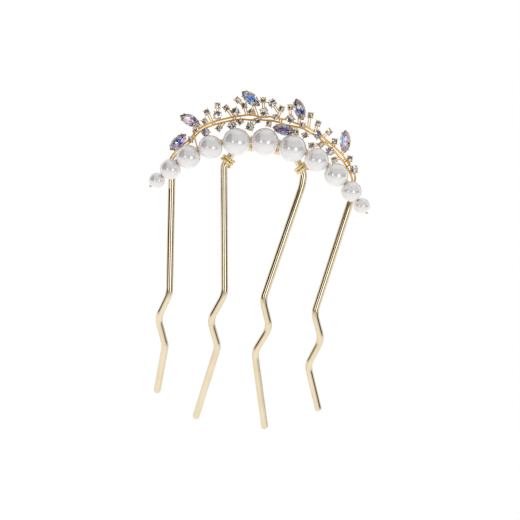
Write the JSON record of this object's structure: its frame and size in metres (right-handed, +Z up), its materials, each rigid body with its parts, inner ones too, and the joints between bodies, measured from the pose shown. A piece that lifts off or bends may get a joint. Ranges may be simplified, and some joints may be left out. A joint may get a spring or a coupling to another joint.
{
  "type": "hair comb",
  "caption": "Wire hair comb with long wavy tines; its arched top carries a string of turning pearls and a spray of claw-set round and pointed oval crystals.",
  "frame": {"origin": "mount hair_seat: on the centre line at the hair line, level with the undersides of the end pearls, at the depth of the crest wire's centre", "axes": "+Z up from the hair line to the crest, -Y faces the viewer, +X to the viewer's right"},
  "size_m": [0.0633, 0.0236, 0.0957],
  "materials": {
    "fork_metal": "pale champagne gold plating, polished",
    "spray_metal": "warm gold plating, polished",
    "fine_wire": "gold plated wire",
    "pearl": "imitation pearl lacquer, soft sheen",
    "rhinestone": "clear, foiled back",
    "iridescent_crystal": "clear with an iridescent coating"
  },
  "bodies": {
    "comb": {"binding_coil_left": "fork_metal", "binding_coil_right": "fork_metal", "inner_fork": "fork_metal", "lashing_1": "fine_wire", "lashing_2": "fine_wire", "lashing_3": "fine_wire", "lashing_4": "fine_wire", "lashing_5": "fine_wire", "lashing_6": "fine_wire", "lashing_7": "fine_wire", "lashing_8": "fine_wire", "navette_1": "iridescent_crystal", "navette_2": "iridescent_crystal", "navette_3": "iridescent_crystal", "navette_4": "iridescent_crystal", "navette_5": "iridescent_crystal", "navette_6": "iridescent_crystal", "outer_fork": "fork_metal", "pearl_wire": "fine_wire", "spray_tie_left": "spray_metal", "spray_tie_right": "spray_metal", "sprig_1_setting": "spray_metal", "sprig_2_rhinestones": "rhinestone", "sprig_2_setting": "spray_metal", "sprig_3_rhinestones": "rhinestone", "sprig_3_setting": "spray_metal", "sprig_4_rhinestones": "rhinestone", "sprig_4_setting": "spray_metal", "sprig_5_rhinestones": "rhinestone", "sprig_5_setting": "spray_metal", "sprig_6_rhinestones": "rhinestone", "sprig_6_setting": "spray_metal", "sprig_7_rhinestones": "rhinestone", "sprig_7_setting": "spray_metal", "sprig_8_rhinestones": "rhinestone", "sprig_8_setting": "spray_metal", "sprig_9_rhinestones": "rhinestone", "sprig_9_setting": "spray_metal"},
    "pearl_01_body": {"pearl_01": "pearl"},
    "pearl_02_body": {"pearl_02": "pearl"},
    "pearl_03_body": {"pearl_03": "pearl"},
    "pearl_04_body": {"pearl_04": "pearl"},
    "pearl_05_body": {"pearl_05": "pearl"},
    "pearl_06_body": {"pearl_06": "pearl"},
    "pearl_07_body": {"pearl_07": "pearl"},
    "pearl_08_body": {"pearl_08": "pearl"},
    "pearl_09_body": {"pearl_09": "pearl"},
    "pearl_10_body": {"pearl_10": "pearl"},
    "pearl_11_body": {"pearl_11": "pearl"}
  },
  "joints": [
    {"name": "pearl_01_spin", "type": "hinge", "parent": "comb", "child": "pearl_01_body", "pos_m": [-0.02926, 0.0022, 0.00253], "axis": [0.5962, -0.454, 0.6621], "continuous": true},
    {"name": "pearl_02_spin", "type": "hinge", "parent": "comb", "child": "pearl_02_body", "pos_m": [-0.02583, -0.00004, 0.00613], "axis": [0.6556, -0.3746, 0.6556], "continuous": true},
    {"name": "pearl_03_spin", "type": "hinge", "parent": "comb", "child": "pearl_03_body", "pos_m": [-0.0211, -0.00223, 0.01019], "axis": [0.7637, -0.2924, 0.5755], "continuous": true},
    {"name": "pearl_04_spin", "type": "hinge", "parent": "comb", "child": "pearl_04_body", "pos_m": [-0.01515, -0.00389, 0.01364], "axis": [0.9031, -0.1736, 0.3927], "continuous": true},
    {"name": "pearl_05_spin", "type": "hinge", "parent": "comb", "child": "pearl_05_body", "pos_m": [-0.008, -0.00479, 0.01602], "axis": [0.9679, -0.0698, 0.2413], "continuous": true},
    {"name": "pearl_06_spin", "type": "hinge", "parent": "comb", "child": "pearl_06_body", "pos_m": [0, -0.00507, 0.017], "axis": [1, 0, 0], "continuous": true},
    {"name": "pearl_07_spin", "type": "hinge", "parent": "comb", "child": "pearl_07_body", "pos_m": [0.00801, -0.00493, 0.01602], "axis": [0.9697, 0.0349, -0.2418], "continuous": true},
    {"name": "pearl_08_spin", "type": "hinge", "parent": "comb", "child": "pearl_08_body", "pos_m": [0.01519, -0.00436, 0.01362], "axis": [0.9102, 0.1219, -0.3958], "continuous": true},
    {"name": "pearl_09_spin", "type": "hinge", "parent": "comb", "child": "pearl_09_body", "pos_m": [0.02122, -0.00315, 0.01012], "axis": [0.7797, 0.2164, -0.5875], "continuous": true},
    {"name": "pearl_10_spin", "type": "hinge", "parent": "comb", "child": "pearl_10_body", "pos_m": [0.02605, -0.00138, 0.00597], "axis": [0.6686, 0.3256, -0.6686], "continuous": true},
    {"name": "pearl_11_spin", "type": "hinge", "parent": "comb", "child": "pearl_11_body", "pos_m": [0.02955, 0.00063, 0.00232], "axis": [0.6064, 0.4226, -0.6735], "continuous": true}
  ]
}
